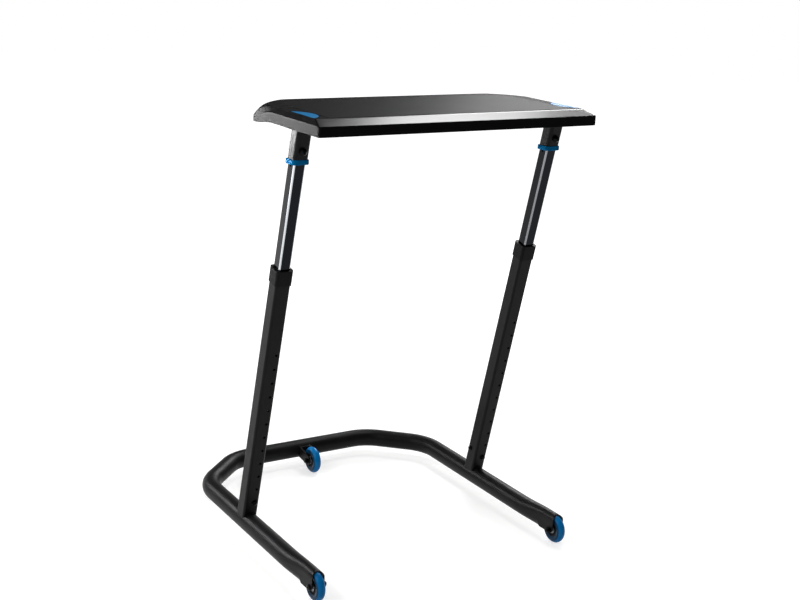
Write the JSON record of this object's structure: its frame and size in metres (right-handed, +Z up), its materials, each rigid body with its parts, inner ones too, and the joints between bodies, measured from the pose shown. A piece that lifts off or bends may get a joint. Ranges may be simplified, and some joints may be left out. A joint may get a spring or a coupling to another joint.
{
  "type": "bike trainer desk",
  "caption": "Free-standing desk that rolls over the front of a bicycle on a trainer, with a bent tube base, leaning telescopic posts and a tabletop that slides up and down.",
  "frame": {"origin": "on the floor, under the middle of the overall box", "axes": "+Z up, -Y towards the rider, +X to the rider's right"},
  "size_m": [0.73, 0.7845, 1.0866],
  "materials": {
    "black_paint": "satin black powder coat on steel tube",
    "black_chrome": "smooth dark chrome on steel tube",
    "black_plastic": "fine-textured black moulded plastic",
    "black_mat": "soft black non-slip sheet",
    "blue_plastic": "smooth bright blue moulded plastic",
    "blue_tread": "smooth blue cast polyurethane",
    "bright_steel": "plain bright steel",
    "black_fastener": "black oxide steel"
  },
  "bodies": {
    "base": {"base_tube": "black_paint", "rear_wheel_fork": "black_paint", "left_front_axle_bolt": "black_fastener", "left_front_axle_nut": "black_fastener", "right_front_axle_bolt": "black_fastener", "right_front_axle_nut": "black_fastener", "rear_axle_bolt": "black_fastener", "rear_axle_nut": "black_fastener", "left_outer_tube": "black_paint", "left_post_spigot": "black_paint", "left_guide_collar": "black_plastic", "left_foot_bolt": "black_fastener", "left_foot_screw": "black_fastener", "right_outer_tube": "black_paint", "right_post_spigot": "black_paint", "right_guide_collar": "black_plastic", "right_foot_bolt": "black_fastener", "right_foot_screw": "black_fastener"},
    "left_front_wheel": {"left_front_wheel_tread": "blue_tread", "left_front_wheel_hub": "black_plastic", "left_front_wheel_spacer": "bright_steel", "left_front_wheel_bearing_a": "bright_steel", "left_front_wheel_bearing_b": "bright_steel"},
    "right_front_wheel": {"right_front_wheel_tread": "blue_tread", "right_front_wheel_hub": "black_plastic", "right_front_wheel_spacer": "bright_steel", "right_front_wheel_bearing_a": "bright_steel", "right_front_wheel_bearing_b": "bright_steel"},
    "rear_wheel": {"rear_wheel_tread": "blue_tread", "rear_wheel_hub": "black_plastic", "rear_wheel_spacer": "bright_steel", "rear_wheel_bearing_a": "bright_steel", "rear_wheel_bearing_b": "bright_steel"},
    "carriage": {"tabletop": "black_plastic", "table_mat": "black_mat", "left_insert": "blue_plastic", "right_insert": "blue_plastic", "left_inner_tube": "black_chrome", "left_pin_block": "black_plastic", "left_bracket": "black_paint", "left_bracket_bolt": "black_fastener", "left_plate_screw_a": "black_fastener", "left_plate_screw_b": "black_fastener", "right_inner_tube": "black_chrome", "right_pin_block": "black_plastic", "right_bracket": "black_paint", "right_bracket_bolt": "black_fastener", "right_plate_screw_a": "black_fastener", "right_plate_screw_b": "black_fastener"},
    "left_release": {"left_release_ring": "blue_plastic", "left_release_rod": "bright_steel"},
    "left_lock": {"left_lock_pin": "bright_steel"},
    "right_release": {"right_release_ring": "blue_plastic", "right_release_rod": "bright_steel"},
    "right_lock": {"right_lock_pin": "bright_steel"}
  },
  "joints": [
    {"name": "height_slide", "type": "slide", "parent": "base", "child": "carriage", "axis": [0, -0.2358, 0.9718], "range_m": [-0.228, 0.152]},
    {"name": "left_front_wheel_spin", "type": "hinge", "parent": "base", "child": "left_front_wheel", "pos_m": [-0.34, -0.3565, 0.036], "axis": [1, 0, 0], "continuous": true},
    {"name": "right_front_wheel_spin", "type": "hinge", "parent": "base", "child": "right_front_wheel", "pos_m": [0.34, -0.3565, 0.036], "axis": [1, 0, 0], "continuous": true},
    {"name": "rear_wheel_spin", "type": "hinge", "parent": "base", "child": "rear_wheel", "pos_m": [0, 0.2985, 0.036], "axis": [1, 0, 0], "continuous": true},
    {"name": "left_release_slide", "type": "slide", "parent": "carriage", "child": "left_release", "axis": [0, -0.2358, 0.9718], "range_m": [-0.008, 0]},
    {"name": "right_release_slide", "type": "slide", "parent": "carriage", "child": "right_release", "axis": [0, -0.2358, 0.9718], "range_m": [-0.008, 0]},
    {"name": "left_lock_pin_slide", "type": "slide", "parent": "carriage", "child": "left_lock", "axis": [0, -0.9718, -0.2358], "range_m": [0, 0.005]},
    {"name": "right_lock_pin_slide", "type": "slide", "parent": "carriage", "child": "right_lock", "axis": [0, -0.9718, -0.2358], "range_m": [0, 0.005]}
  ],
  "couplings": [
    {"joint": "left_lock_pin_slide", "follows": "left_release_slide", "ratio": -0.625},
    {"joint": "right_lock_pin_slide", "follows": "right_release_slide", "ratio": -0.625}
  ]
}
